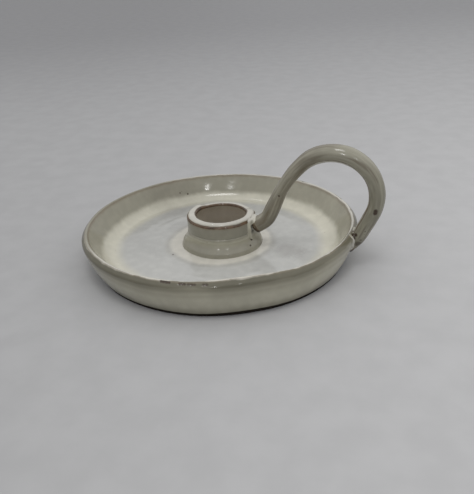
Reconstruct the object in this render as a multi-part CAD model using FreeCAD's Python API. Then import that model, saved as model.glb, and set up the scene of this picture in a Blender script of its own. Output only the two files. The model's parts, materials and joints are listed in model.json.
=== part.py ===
import FreeCAD, Part
import math
import os

from FreeCAD import Vector

# Chamberstick in glazed stoneware: a shallow dish, a candle socket on its floor, and a loop
# for one finger that springs from the socket and lands on the outside of the rim.
# Sizes are millimetres. The origin is on the dish's axis at the table, +Z is up, and the
# finger loop lies in the XZ plane on the +X side.

# Dish, thrown on the wheel and turned underneath
RIM_RADIUS = 65.0
RIM_HEIGHT = 17.1
WALL_FLARE = 4.8
BASE_WALL = 5.3
WALL_BELLY = 0.35
BELLY_SHARE = 0.6
FLOOR_THICKNESS = 3.8
COVE_RADIUS = 8.0
LIP_THICKNESS = 2.8
LIP_OUTER_ROUNDING = 1.8
LIP_INNER_ROUNDING = 0.8
LIP_DEPTH = 3.0
LIP_HOLLOW = 0.5
LIP_HOLLOW_RUN = 2.4
FOOT_RING_WIDTH = 6.5
FOOT_UNDERCUT_WIDTH = 2.0
FOOT_UNDERCUT_HEIGHT = 1.6
FOOT_RECESS = 1.2
FOOT_ROUNDING = 0.7

# Candle socket, a thick ring for a dinner candle
BORE_RADIUS = 12.0
SOCKET_WALL = 4.5
SOCKET_HEIGHT = 15.5
SOCKET_INNER_ROUNDING = 1.2
SOCKET_OUTER_ROUNDING = 1.0
SOCKET_SHOULDER = 1.3
COLLAR_BOTTOM = 9.0
COLLAR_ROUNDING = 0.6
GROOVE_HEIGHT = 8.3
GROOVE_DEPTH = 0.4
SOCKET_SPREAD = 0.6

# Ring of slip that welds the socket's foot to the floor
SLIP_SPREAD = 3.5
SLIP_SHOULDER_HEIGHT = 2.0
SLIP_SHOULDER_WIDTH = 2.6
SLIP_SHOULDER_ROUNDING = 2.2
SLIP_NECK_HEIGHT = 4.9
SLIP_NECK_WIDTH = 0.5
SLIP_NECK_ROUNDING = 7.0

# Finger loop, a pulled rod, slightly oval
LOOP_RADIUS = 19.5
LOOP_INSET = 11.0
LOOP_DIP = 3.2
SHOULDER_RADIUS = 54.0
RISE_LENGTH = 13.0
ROOT_RISE = 9.3
ROOT_STANDOFF = 0.2
KNEE_REACH = 7.4
KNEE_LIFT = 4.7
KNEE_RADIUS = 9.7
LANDING_DROP = 4.1
LANDING_STANDOFF = 1.5
LANDING_RADIUS = 12.0
TAIL_DROP = 4.2
TAIL_BITE = 1.5
LOOP_THICKNESS = 8.0
LOOP_SECTION_COUNT = 26
LOOP_WIDTH_SHARE = 1.15

# Along the loop from socket to rim: share of its length, share of LOOP_THICKNESS
THICKNESS_SHARES = (
    (0.00, 0.95),
    (0.08, 0.90),
    (0.22, 0.76),
    (0.34, 0.87),
    (0.43, 0.97),
    (0.55, 0.99),
    (0.70, 0.92),
    (0.92, 0.90),
    (1.00, 0.62),
)

# Slip pressed round the two ends of the loop
SOCKET_WELD_HALF_LENGTH = 4.2
SOCKET_WELD_COVER = 0.4
SOCKET_WELD_LIFT = 1.6
SOCKET_WELD_ADVANCE = 1.2
RIM_WELD_HALF_LENGTH = 6.2
RIM_WELD_COVER = 1.5
RIM_WELD_HALF_DEPTH = 2.6
RIM_WELD_DROP = 4.8

# Places that several pieces share
FOOT_RADIUS = RIM_RADIUS - WALL_FLARE
FLOOR_HEIGHT = FOOT_RECESS + FLOOR_THICKNESS
HOLLOW_HEIGHT = RIM_HEIGHT - LIP_DEPTH - LIP_HOLLOW_RUN
HOLLOW_RADIUS = RIM_RADIUS - LIP_HOLLOW
COLLAR_RADIUS = BORE_RADIUS + SOCKET_WALL
GROOVE_RADIUS = COLLAR_RADIUS - GROOVE_DEPTH

ORIGIN = Vector(0, 0, 0)
UP = Vector(0, 0, 1)
ACROSS = Vector(0, 1, 0)


def point(radius, height):
    """A place in the plane of the finger loop."""
    return Vector(radius, 0, height)


def direction(angle):
    """A unit step in that plane, at an angle in radians above +X."""
    return Vector(math.cos(angle), 0, math.sin(angle))


def rounded_edges(corners, closed):
    """Straight runs through (place, rounding) corners, joined by tangent arcs where rounding is over 0."""
    count = len(corners)
    edges = []
    ends = []
    for index, (place, rounding) in enumerate(corners):
        inner = closed or 0 < index < count - 1
        if not inner or rounding == 0:
            ends.append((place, place))
            continue
        back = (corners[index - 1][0] - place).normalize()
        ahead = (corners[(index + 1) % count][0] - place).normalize()
        half = back.getAngle(ahead) / 2
        reach = rounding / math.tan(half)
        middle = place + (back + ahead).normalize() * (rounding / math.sin(half) - rounding)
        ends.append((place + back * reach, place + ahead * reach))
        edges.append((index, Part.Arc(ends[-1][0], middle, ends[-1][1]).toShape()))
    for index in range(count if closed else count - 1):
        run = Part.LineSegment(ends[index][1], ends[(index + 1) % count][0])
        edges.append((index + 0.5, run.toShape()))
    return [edge for _, edge in sorted(edges, key=lambda item: item[0])]


def turned(corners):
    """The solid that a rounded outline sweeps round the dish's axis."""
    outline = [(point(radius, height), rounding) for radius, height, rounding in corners]
    face = Part.Face(Part.Wire(rounded_edges(outline, True)))
    return face.revolve(ORIGIN, UP, 360)


def wall_radius(height):
    """Radius of the dish's outer wall, below the hollow under the lip."""
    return FOOT_RADIUS + (HOLLOW_RADIUS - FOOT_RADIUS) * height / HOLLOW_HEIGHT


def make_dish():
    """A flat floor, a cove, a flaring wall with a rounded lip, and an undercut foot ring."""
    lip_inner = RIM_RADIUS - LIP_THICKNESS
    belly_height = HOLLOW_HEIGHT / 2
    belly_rounding = BELLY_SHARE * belly_height ** 2 / WALL_BELLY
    ring_radius = FOOT_RADIUS - FOOT_UNDERCUT_WIDTH
    recess_radius = ring_radius - FOOT_RING_WIDTH
    return turned([
        (0, FOOT_RECESS, 0),
        (recess_radius, FOOT_RECESS, FOOT_ROUNDING),
        (recess_radius, 0, 0),
        (ring_radius, 0, 0),
        (wall_radius(FOOT_UNDERCUT_HEIGHT), FOOT_UNDERCUT_HEIGHT, FOOT_ROUNDING),
        (wall_radius(belly_height) + WALL_BELLY, belly_height, belly_rounding),
        (HOLLOW_RADIUS, HOLLOW_HEIGHT, LIP_HOLLOW_RUN),
        (RIM_RADIUS, RIM_HEIGHT - LIP_DEPTH, LIP_HOLLOW_RUN),
        (RIM_RADIUS, RIM_HEIGHT, LIP_OUTER_ROUNDING),
        (lip_inner, RIM_HEIGHT, LIP_INNER_ROUNDING),
        (FOOT_RADIUS - BASE_WALL, FLOOR_HEIGHT, COVE_RADIUS),
        (0, FLOOR_HEIGHT, 0),
    ])


def make_socket():
    """A thrown ring with a rounded lip, an upright collar and a groove where the slip begins."""
    top = FLOOR_HEIGHT + SOCKET_HEIGHT
    return turned([
        (BORE_RADIUS, FLOOR_HEIGHT, 0),
        (BORE_RADIUS, top, SOCKET_INNER_ROUNDING),
        (COLLAR_RADIUS - SOCKET_SHOULDER, top, SOCKET_OUTER_ROUNDING),
        (COLLAR_RADIUS, top - SOCKET_SHOULDER, SOCKET_OUTER_ROUNDING),
        (COLLAR_RADIUS, FLOOR_HEIGHT + COLLAR_BOTTOM, COLLAR_ROUNDING),
        (GROOVE_RADIUS, FLOOR_HEIGHT + GROOVE_HEIGHT, 0),
        (GROOVE_RADIUS + SOCKET_SPREAD, FLOOR_HEIGHT, 0),
    ])


def make_slip_ring():
    """The coil of slip smoothed from the socket's groove down to the dish's floor."""
    neck_radius = COLLAR_RADIUS + SLIP_NECK_WIDTH
    shoulder_radius = COLLAR_RADIUS + SLIP_SHOULDER_WIDTH
    return turned([
        (GROOVE_RADIUS, FLOOR_HEIGHT + GROOVE_HEIGHT, 0),
        (neck_radius, FLOOR_HEIGHT + SLIP_NECK_HEIGHT, SLIP_NECK_ROUNDING),
        (shoulder_radius, FLOOR_HEIGHT + SLIP_SHOULDER_HEIGHT, SLIP_SHOULDER_ROUNDING),
        (COLLAR_RADIUS + SLIP_SPREAD, FLOOR_HEIGHT, 0),
        (GROOVE_RADIUS + SOCKET_SPREAD, FLOOR_HEIGHT, 0),
    ])


def touch_point(outside, centre, radius, side):
    """Where a straight run from a place outside a circle touches it, on its left (1) or right (-1)."""
    gap = centre - outside
    heading = math.atan2(gap.z, gap.x) + side * math.asin(radius / gap.Length)
    return outside + direction(heading) * math.sqrt(gap.Length ** 2 - radius ** 2)


def crossing(first, first_radius, second, second_radius):
    """Where two circles cross, to the right of the way from the first centre to the second."""
    gap = second - first
    along = (first_radius ** 2 - second_radius ** 2 + gap.Length ** 2) / (2 * gap.Length)
    aside = math.sqrt(first_radius ** 2 - along ** 2)
    heading = math.atan2(gap.z, gap.x)
    return first + direction(heading) * along + direction(heading - math.pi / 2) * aside


def arc_edge(start, end, centre, radius):
    """The arc of a circle between two of its places, over the top."""
    first = math.atan2(start.z - centre.z, start.x - centre.x)
    last = math.atan2(end.z - centre.z, end.x - centre.x)
    turn = (first - last) % math.tau
    middle = centre + direction(first - turn / 2) * radius
    return Part.Arc(start, middle, end).toShape()


def loop_root():
    """Centre of the rod's cut end, whose upper edge beds in the socket's collar, and the knee."""
    root = point(COLLAR_RADIUS + ROOT_STANDOFF, FLOOR_HEIGHT + ROOT_RISE)
    knee = point(COLLAR_RADIUS + KNEE_REACH, root.z + KNEE_LIFT)
    return root, knee


def loop_path():
    """Centreline of the finger loop: root, knee, rise, shoulder, round loop and tail."""
    root, knee = loop_root()
    centre = point(RIM_RADIUS - LOOP_INSET, RIM_HEIGHT - LOOP_DIP + LOOP_RADIUS)
    knee_to_shoulder = math.hypot(SHOULDER_RADIUS, RISE_LENGTH)
    shoulder_centre = crossing(knee, knee_to_shoulder, centre, SHOULDER_RADIUS - LOOP_RADIUS)
    rise_end = touch_point(knee, shoulder_centre, SHOULDER_RADIUS, 1)
    loop_start = centre + (centre - shoulder_centre).normalize() * LOOP_RADIUS
    landing_height = RIM_HEIGHT - LANDING_DROP
    landing = point(HOLLOW_RADIUS + LANDING_STANDOFF, landing_height)
    loop_end = touch_point(landing, centre, LOOP_RADIUS, -1)
    tail_height = landing_height - TAIL_DROP
    tail = point(wall_radius(tail_height) - TAIL_BITE, tail_height)
    edges = rounded_edges([(root, 0), (knee, KNEE_RADIUS), (rise_end, 0)], False)
    edges.append(arc_edge(rise_end, loop_start, shoulder_centre, SHOULDER_RADIUS))
    edges.append(arc_edge(loop_start, loop_end, centre, LOOP_RADIUS))
    edges += rounded_edges([(loop_end, 0), (landing, LANDING_RADIUS), (tail, 0)], False)
    return edges


def thickness_at(share):
    """The rod's thickness at a share of its length."""
    for (low, low_share), (high, high_share) in zip(THICKNESS_SHARES, THICKNESS_SHARES[1:]):
        if share <= high:
            along = (share - low) / (high - low)
            return LOOP_THICKNESS * (low_share + (high_share - low_share) * along)
    return LOOP_THICKNESS * THICKNESS_SHARES[-1][1]


def stations(edges, count):
    """Shares, places and headings spaced evenly along a chain of edges."""
    total = sum(edge.Length for edge in edges)
    for step in range(count + 1):
        share = step / count
        ahead = share * total
        for edge in edges:
            along = min(ahead, edge.Length)
            ahead -= along
            if ahead == 0:
                break
        parameter = edge.getParameterByLength(along)
        yield share, edge.valueAt(parameter), edge.tangentAt(parameter)


def make_rod():
    """The whole pulled rod, before its ends are fitted to the socket and the rim."""
    sections = []
    for share, place, heading in stations(loop_path(), LOOP_SECTION_COUNT):
        half = thickness_at(share) / 2
        side = place + ACROSS * (half * LOOP_WIDTH_SHARE)
        crown = place + heading.cross(ACROSS) * half
        sections.append(Part.Wire(Part.Ellipse(side, crown, place).toShape()))
    return Part.makeLoft(sections, True, False)


def slip_pad(centre, degrees, half_length, half_width, half_depth):
    """An egg-shaped pad of slip, its length turned up from +X by an angle."""
    scale = FreeCAD.Matrix()
    scale.scale(half_length, half_width, half_depth)
    pad = Part.makeSphere(1).transformGeometry(scale)
    pad.rotate(ORIGIN, ACROSS, -degrees)
    pad.translate(centre)
    return pad


def make_socket_weld(rod, socket, slip_ring):
    """Slip smoothed over the rod's root and up to the socket's lip, left open underneath."""
    root, knee = loop_root()
    heading = (knee - root).normalize()
    half_thickness = thickness_at(0) / 2
    centre = root + heading * SOCKET_WELD_ADVANCE + heading.cross(ACROSS) * SOCKET_WELD_LIFT
    pad = slip_pad(
        centre,
        math.degrees(math.atan2(heading.z, heading.x)),
        SOCKET_WELD_HALF_LENGTH,
        half_thickness * LOOP_WIDTH_SHARE + SOCKET_WELD_COVER,
        half_thickness + SOCKET_WELD_COVER,
    )
    return pad.cut(rod).cut(socket).cut(slip_ring)


def make_rim_weld(rod, dish):
    """Slip drawn down both sides of the loop's tail onto the dish's outer wall."""
    height = RIM_HEIGHT - RIM_WELD_DROP
    half_thickness = LOOP_THICKNESS * THICKNESS_SHARES[-2][1] / 2
    pad = slip_pad(
        point(wall_radius(height), height),
        math.degrees(math.atan2(HOLLOW_HEIGHT, HOLLOW_RADIUS - FOOT_RADIUS)),
        RIM_WELD_HALF_LENGTH,
        half_thickness * LOOP_WIDTH_SHARE + RIM_WELD_COVER,
        RIM_WELD_HALF_DEPTH,
    )
    return pad.cut(rod).cut(dish)


dish = make_dish()
socket = make_socket()
slip_ring = make_slip_ring()
rod = make_rod().cut(dish).cut(socket)
pieces = {
    "dish": dish,
    "candle_socket": socket,
    "socket_slip_ring": slip_ring,
    "finger_loop": rod,
    "loop_socket_weld": make_socket_weld(rod, socket, slip_ring),
    "loop_rim_weld": make_rim_weld(rod, dish),
}

os.makedirs("parts", exist_ok=True)
for name, shape in pieces.items():
    shape.exportStep("parts/" + name + ".step")
    print(f"{name}: {len(shape.Solids)} solid, {shape.Volume:.1f} mm3, valid {shape.isValid()}")
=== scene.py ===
import json
import math

import bmesh
import bpy
from mathutils import Matrix, Vector
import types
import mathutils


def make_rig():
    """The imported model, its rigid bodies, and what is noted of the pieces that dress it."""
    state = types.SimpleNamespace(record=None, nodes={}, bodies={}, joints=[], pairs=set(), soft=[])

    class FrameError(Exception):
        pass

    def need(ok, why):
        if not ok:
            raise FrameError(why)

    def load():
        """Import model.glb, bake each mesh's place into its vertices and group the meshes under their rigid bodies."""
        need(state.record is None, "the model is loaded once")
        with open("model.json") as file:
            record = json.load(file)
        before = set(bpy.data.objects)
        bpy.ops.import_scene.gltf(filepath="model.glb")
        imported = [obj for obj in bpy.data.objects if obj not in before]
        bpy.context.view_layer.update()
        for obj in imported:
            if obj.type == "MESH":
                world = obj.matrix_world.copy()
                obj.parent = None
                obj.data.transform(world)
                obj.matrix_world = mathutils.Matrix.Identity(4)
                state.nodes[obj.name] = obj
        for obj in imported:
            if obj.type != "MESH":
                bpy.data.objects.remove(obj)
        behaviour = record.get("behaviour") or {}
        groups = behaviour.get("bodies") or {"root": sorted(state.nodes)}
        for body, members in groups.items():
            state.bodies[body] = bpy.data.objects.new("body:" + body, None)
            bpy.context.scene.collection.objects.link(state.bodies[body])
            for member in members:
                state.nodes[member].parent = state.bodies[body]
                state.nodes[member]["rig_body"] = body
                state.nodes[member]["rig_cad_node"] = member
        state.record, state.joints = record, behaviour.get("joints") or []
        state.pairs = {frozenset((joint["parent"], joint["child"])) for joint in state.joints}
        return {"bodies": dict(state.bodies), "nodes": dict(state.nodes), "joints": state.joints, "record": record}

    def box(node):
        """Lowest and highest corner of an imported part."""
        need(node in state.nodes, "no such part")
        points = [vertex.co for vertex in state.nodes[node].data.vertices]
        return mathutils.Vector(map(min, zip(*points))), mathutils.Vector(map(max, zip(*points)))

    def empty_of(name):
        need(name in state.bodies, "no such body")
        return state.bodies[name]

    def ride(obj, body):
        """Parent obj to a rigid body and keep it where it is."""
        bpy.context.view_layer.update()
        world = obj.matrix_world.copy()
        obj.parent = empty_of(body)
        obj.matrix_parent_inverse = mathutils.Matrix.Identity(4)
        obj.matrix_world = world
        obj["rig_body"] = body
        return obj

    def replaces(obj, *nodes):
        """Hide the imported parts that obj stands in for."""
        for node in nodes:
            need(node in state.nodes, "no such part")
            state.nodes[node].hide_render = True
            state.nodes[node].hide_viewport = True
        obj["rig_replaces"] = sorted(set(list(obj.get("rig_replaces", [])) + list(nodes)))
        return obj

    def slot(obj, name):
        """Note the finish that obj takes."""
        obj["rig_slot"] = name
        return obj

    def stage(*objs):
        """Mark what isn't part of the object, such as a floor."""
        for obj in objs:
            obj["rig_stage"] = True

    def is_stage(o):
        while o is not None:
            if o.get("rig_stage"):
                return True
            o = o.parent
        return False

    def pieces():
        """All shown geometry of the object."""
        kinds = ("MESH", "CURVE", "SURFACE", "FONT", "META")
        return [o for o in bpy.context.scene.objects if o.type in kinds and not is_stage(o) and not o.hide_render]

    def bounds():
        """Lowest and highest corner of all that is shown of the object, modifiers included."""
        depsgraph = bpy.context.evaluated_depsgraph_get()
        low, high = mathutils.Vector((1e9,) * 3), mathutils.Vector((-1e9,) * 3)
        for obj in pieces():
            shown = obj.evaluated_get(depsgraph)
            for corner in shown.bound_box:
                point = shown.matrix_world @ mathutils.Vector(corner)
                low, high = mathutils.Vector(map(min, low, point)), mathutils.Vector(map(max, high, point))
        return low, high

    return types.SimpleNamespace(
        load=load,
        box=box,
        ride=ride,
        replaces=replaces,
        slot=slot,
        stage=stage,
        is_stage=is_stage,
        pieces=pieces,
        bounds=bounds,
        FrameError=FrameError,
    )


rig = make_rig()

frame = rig.load()
cad_box = [list(corner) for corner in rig.bounds()]


# Dish
# A shallow dish thrown on the wheel in iron-bearing stoneware, with a beaded lip and a foot ring
# turned underneath. The milky glaze pools on its floor, and runs thin and brown along its lip.
MM = 0.001
TOUCHING = 0.001 * MM
RIM_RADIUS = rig.box("dish")[1][0]
RIM_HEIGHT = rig.box("dish")[1][2]
WALL_FLARE = 4.8 * MM
FOOT_RADIUS = RIM_RADIUS - WALL_FLARE
FOOT_RECESS = 1.2 * MM
FOOT_RING_WIDTH = 8.5 * MM
FOOT_ROUNDING = 0.4 * MM
UNDERCUT_WIDTH = 0.6 * MM
UNDERCUT_HEIGHT = 1.8 * MM
UNDERCUT_LEAN = 0.3 * MM
FLOOR_THICKNESS = 3.8 * MM
FLOOR_HEIGHT = FOOT_RECESS + FLOOR_THICKNESS
BASE_WALL = 5.3 * MM
COVE_RADIUS = 8 * MM
WALL_BELLY = 0.35 * MM
BELLY_ROUNDING = 30 * MM
HOLLOW_DEPTH = 0.4 * MM
HOLLOW_DROP = 5.4 * MM
HOLLOW_ROUNDING = 3.4 * MM
LIP_DEPTH = 3 * MM
LIP_THICKNESS = 2.8 * MM
LIP_SLOPE_WIDTH = 2 * MM
LIP_SLOPE_HEIGHT = 1.9 * MM
LIP_SLOPE_ROUNDING = 1.4 * MM
LIP_CREST_ROUNDING = 0.5 * MM
LIP_CREST_FALL = 0.2 * MM
WIPED_HEIGHT = 2 * MM
POOL_CREST = 21.5 * MM
POOL_END = 26.5 * MM
POOL_RISE = 0.15 * MM
THROWING_RINGS = (31.0 * MM, 36.5 * MM, 42.0 * MM)
THROWING_RING_RISE = 0.07 * MM
THROWING_RING_WIDTH = 2.5 * MM
RIPPLE_ROUNDING = 2 * MM
RING_SPACING = 1.0 * MM
LEAST_ARC_STEPS = 5
DISH_STEPS = 192
CREST_DEPTH = 0.1 * MM
RIM_LONG_DIRECTION = math.radians(31.2)
RIM_LONG_SHARE = 1.0173
RIM_SHORT_SHARE = 0.9752
RIM_REACH = 17 * MM
RIM_DRIFT = Vector((-0.17, 0.46, 0)) * MM
RIM_SWELL = 1.2 * MM
RIM_SWELL_PLACE = Vector((29, -55, 17)) * MM
RIM_SWELL_REACH = 24 * MM
HAND_WAVE = 0.35 * MM
HAND_WAVE_SIZE = 24 * MM

# Chips on the front of the lip: where each starts and ends along X, and how dark it is
LIP_CHIPS = ((-4.2, -0.6, 1.0), (3.6, 5.6, 0.9), (7.0, 9.8, 0.7), (13.2, 14.4, 0.7))
CHIP_STEP = 0.7
CHIP_CIRCLE = 62.3
CHIP_HEIGHT = 16.6
CHIP_RADIUS = 0.75

BREAK_BROWN = (86, 68, 52)
THIN_GLAZE = (128, 118, 100)
LIP_OLIVE = (124, 121, 106)
FOOT_OLIVE = (138, 135, 120)
SLOPE_OLIVE = (92, 89, 75)
LIP_CREAM = (180, 177, 168)
WALL_OLIVE = (149, 146, 131)
GREIGE = (163, 160, 145)
CREAM = (189, 186, 171)
MILK_GREY = (166, 166, 163)
MILK_DUSK = (158, 157, 152)
POOL_CREAM = (184, 181, 172)
# near black: the bare clay's own colour, with the shade under the foot painted into it
BARE_CLAY_AND_SHADE = (38, 32, 26)

# How the glaze varies: sizes of its clouds, the ranges of cloud that show, and what they do there
SLOW_CLOUDS = 22 * MM
QUICK_CLOUDS = 4 * MM
FINE_CLOUDS = 0.9 * MM
THIN_CLOUDS = 6 * MM
DRIFT_SHARE = 3
MILKY_RANGE = (0.35, 0.75)
MILKY_SHARES = (1.0, 1.1)
DUSKY_RANGE = (0.45, 0.75)
DUSKY_SHARES = (1.01, 0.93)
THIN_RANGE = (0.1, 0.7)
THIN_SHARE = 0.75
THIN_FINE_SHARE = 0.5
BREAK_RANGE = (0.62, 0.95)
IRON_RANGE = (0.38, 0.62)
IRON_SHARES = (0.6, 1.25)
SPECK_SPACING = 5 * MM
SPECK_CHOICE = (0.62, 0.64)
SPECK_EDGE = (0.03, 0.07)
SPECK_SHARE = 0.45
MARK_EDGE_SHARES = (0.7, 1.4)
MARK_RAGGED_SHARE = 0.6
MARK_TONE_SHARE = 0.5
LARGEST_PINHOLE = 1
GLOSS_RANGE = (0.3, 0.8)
GLOSS_ROUGHNESS = (0.09, 0.17)
GLAZE_IOR = 1.5
GLAZE_SPECULAR = 0.5
QUICK_BUMP = 0.5
FINE_BUMP = 0.06
BREAK_SINK = 0.1
BUMP_STRENGTH = 0.35
BUMP_HEIGHT = 0.3 * MM

# Bare clay on the foot, painted near black for its own dark brown and the shade under the foot's edge
WIPED_EDGE = 0.2
WIPED_RAGGED_SHARE = 0.4
CLAY_TONE_SHARE = 0.75
CLAY_GRIT = 0.4 * MM
CLAY_BUMP = 0.5
CLAY_ROUGHNESS = 0.65
CLAY_SPECULAR = 0.1

# Painted light and shade: shares of the dish's tones outside the lip and inside it, on the far side and on the loop's
# side, lighter towards the loop where more light falls
SLANT = 0.006
FAR_SIDE_LIGHT_SHARES = (1.04, 0.9)
LOOP_SIDE_LIGHT_SHARES = (1.22, 1.16)
FRONT_LIGHT_SHARE = 0.8
CREST_EDGE = 0.5
DULL_CREST_PLACES = (-58 * MM, -36 * MM)
DULL_CREST_SHARE = 0.9


def tone(colour, share=1.0):
    """A colour read off the piece, from 0 to 255, as light values."""
    parts = [value / 255 for value in colour]
    light = [value / 12.92 if value <= 0.04045 else ((value + 0.055) / 1.055) ** 2.4 for value in parts]
    return [value * share for value in light] + [1.0]


def start_piece(piece, name):
    """Names a new piece and puts its place in its mesh."""
    piece.name = name
    piece.data.name = name
    bpy.ops.object.transform_apply(location=True, rotation=True, scale=True)
    return piece


def pick(piece, wanted):
    """In edit mode, selects the points whose places pass a test, and what lies between them."""
    bpy.ops.mesh.select_all(action="DESELECT")
    shape = bmesh.from_edit_mesh(piece.data)
    for vertex in shape.verts:
        vertex.select_set(wanted(vertex.co))
    shape.select_flush(True)
    bmesh.update_edit_mesh(piece.data)


def near(place):
    """A test for points at a place."""
    return lambda point: (point - place).length < TOUCHING


def draw_outline(name, corners, spacing, closed):
    """Draws a section as a chain of points, rounds its corners and divides its long runs.
    Each point keeps its distance along the chain, in millimetres, as the glaze's guide."""
    places = [Vector((radius, 0, height)) for radius, height, _ in corners]
    count = len(corners)
    bpy.ops.object.select_all(action="DESELECT")
    bpy.ops.mesh.primitive_plane_add(size=spacing, location=places[0])
    piece = start_piece(bpy.context.active_object, name)
    bpy.ops.object.mode_set(mode="EDIT")
    bpy.ops.mesh.merge(type="CENTER")
    for place, following in zip(places, places[1:]):
        bpy.ops.mesh.extrude_verts_indiv()
        bpy.ops.transform.translate(value=following - place)
    if closed:
        pick(piece, lambda point: near(places[0])(point) or near(places[-1])(point))
        bpy.ops.mesh.edge_face_add()
    for index, (place, (_, _, rounding)) in enumerate(zip(places, corners)):
        if rounding:
            back = (places[index - 1] - place).normalized()
            ahead = (places[(index + 1) % count] - place).normalized()
            half = back.angle(ahead) / 2
            arc = (math.pi - 2 * half) * rounding
            pick(piece, near(place))
            bpy.ops.mesh.bevel(
                offset_type="OFFSET",
                offset=rounding / math.tan(half),
                segments=max(LEAST_ARC_STEPS, round(arc / spacing)),
                profile=0.5,
                affect="VERTICES",
            )
    shape = bmesh.from_edit_mesh(piece.data)
    runs = [(edge.verts[0].co.copy(), edge.verts[1].co.copy()) for edge in shape.edges]
    for start, end in runs:
        cuts = round((end - start).length / spacing) - 1
        if cuts > 0:
            pick(piece, lambda point: near(start)(point) or near(end)(point))
            bpy.ops.mesh.subdivide(number_cuts=cuts)
    bpy.ops.object.mode_set(mode="OBJECT")
    keep_run(piece, places[0], places[1])
    return piece


def keep_run(piece, first, second):
    """Stores each point's distance along the chain from its first corner towards the second."""
    points = [vertex.co for vertex in piece.data.vertices]
    beside = {index: [] for index in range(len(points))}
    for edge in piece.data.edges:
        one, other = edge.vertices
        beside[one].append(other)
        beside[other].append(one)
    here = min(beside, key=lambda index: (points[index] - first).length)
    run = {here: 0.0}
    following = min(beside[here], key=lambda index: (points[index] - second).length)
    while following not in run:
        run[following] = run[here] + (points[following] - points[here]).length
        here = following
        following = next((index for index in beside[here] if index not in run), here)
    guide = piece.data.attributes.new("run", "FLOAT", "POINT")
    for index, length in run.items():
        guide.data[index].value = length / MM


def spin_outline(piece, steps, centre=(0, 0, 0)):
    """Turns the section round an upright axis into a closed solid."""
    bpy.ops.object.mode_set(mode="EDIT")
    bpy.ops.mesh.select_all(action="SELECT")
    bpy.ops.transform.translate(value=centre)
    bpy.ops.mesh.spin(steps=steps, angle=math.tau, center=centre, axis=(0, 0, 1))
    bpy.ops.mesh.select_all(action="SELECT")
    bpy.ops.mesh.remove_doubles(threshold=TOUCHING)
    bpy.ops.mesh.normals_make_consistent(inside=False)
    bpy.ops.object.mode_set(mode="OBJECT")
    bpy.ops.object.shade_smooth()


def hand_unevenness(piece, rise, size, wanted=None):
    """The slow waves that a potter's hand leaves in a wall, over all of a piece or a part of it."""
    waves = bpy.data.textures.new(piece.name + "_waves", "CLOUDS")
    waves.noise_scale = size
    waves.noise_depth = 1
    bpy.ops.object.modifier_add(type="DISPLACE")
    modifier = piece.modifiers[-1]
    modifier.texture = waves
    modifier.strength = rise
    modifier.mid_level = 0.5
    if wanted:
        group = piece.vertex_groups.new(name="uneven")
        group.add([v.index for v in piece.data.vertices if wanted(v.co)], 1.0, "REPLACE")
        modifier.vertex_group = group.name
    bpy.ops.object.modifier_apply(modifier=modifier.name)


hollow_height = RIM_HEIGHT - HOLLOW_DROP
belly_height = hollow_height / 2
belly_radius = (FOOT_RADIUS + RIM_RADIUS - HOLLOW_DEPTH) / 2 + WALL_BELLY
recess_radius = FOOT_RADIUS - FOOT_RING_WIDTH
dish_corners = [
    (0, FOOT_RECESS, 0),
    (recess_radius - FOOT_RECESS, FOOT_RECESS, FOOT_ROUNDING),
    (recess_radius, 0, FOOT_ROUNDING),
    (FOOT_RADIUS - UNDERCUT_WIDTH, 0, FOOT_ROUNDING),
    (FOOT_RADIUS + UNDERCUT_LEAN, UNDERCUT_HEIGHT, FOOT_ROUNDING),
    (belly_radius, belly_height, BELLY_ROUNDING),
    (RIM_RADIUS - HOLLOW_DEPTH, hollow_height, HOLLOW_ROUNDING),
    (RIM_RADIUS, RIM_HEIGHT - LIP_DEPTH, HOLLOW_ROUNDING),
    (RIM_RADIUS, RIM_HEIGHT - LIP_SLOPE_HEIGHT, LIP_SLOPE_ROUNDING),
    (RIM_RADIUS - LIP_SLOPE_WIDTH, RIM_HEIGHT, LIP_CREST_ROUNDING),
    (RIM_RADIUS - LIP_THICKNESS, RIM_HEIGHT - LIP_CREST_FALL, LIP_CREST_ROUNDING),
    (FOOT_RADIUS - BASE_WALL, FLOOR_HEIGHT, COVE_RADIUS),
]
for ring in reversed(THROWING_RINGS):
    dish_corners.append((ring + THROWING_RING_WIDTH, FLOOR_HEIGHT, RIPPLE_ROUNDING))
    dish_corners.append((ring, FLOOR_HEIGHT + THROWING_RING_RISE, RIPPLE_ROUNDING))
dish_corners += [
    (POOL_END, FLOOR_HEIGHT - THROWING_RING_RISE, RIPPLE_ROUNDING),
    (POOL_CREST, FLOOR_HEIGHT + POOL_RISE, RIPPLE_ROUNDING),
    (0, FLOOR_HEIGHT, 0),
]
dish = draw_outline("thrown_dish", dish_corners, RING_SPACING, False)
spin_outline(dish, DISH_STEPS)

long_axes = Matrix.Rotation(RIM_LONG_DIRECTION, 3, "Z")
bpy.ops.object.mode_set(mode="EDIT")
pick(dish, lambda point: point.z > RIM_HEIGHT - CREST_DEPTH)
bpy.ops.transform.resize(
    value=(RIM_LONG_SHARE, RIM_SHORT_SHARE, 1),
    orient_type="LOCAL",
    orient_matrix=long_axes,
    orient_matrix_type="LOCAL",
    center_override=(0, 0, 0),
    use_proportional_edit=True,
    proportional_edit_falloff="SMOOTH",
    proportional_size=RIM_REACH,
)
bpy.ops.transform.translate(
    value=RIM_DRIFT,
    use_proportional_edit=True,
    proportional_edit_falloff="SMOOTH",
    proportional_size=RIM_REACH,
)
pick(dish, lambda point: point.z > RIM_HEIGHT - LIP_DEPTH
     and (point - RIM_SWELL_PLACE).length < LIP_DEPTH)
bpy.ops.transform.translate(
    value=(0, 0, RIM_SWELL),
    use_proportional_edit=True,
    proportional_edit_falloff="SMOOTH",
    proportional_size=RIM_SWELL_REACH,
)
bpy.ops.object.mode_set(mode="OBJECT")
hand_unevenness(dish, HAND_WAVE, HAND_WAVE_SIZE, lambda point: point.z > WIPED_HEIGHT)


def joined(tree, source, socket):
    """Sets a socket to a value, or links it to another node's output."""
    if isinstance(source, bpy.types.NodeSocket):
        tree.links.new(source, socket)
    else:
        socket.default_value = source


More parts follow.
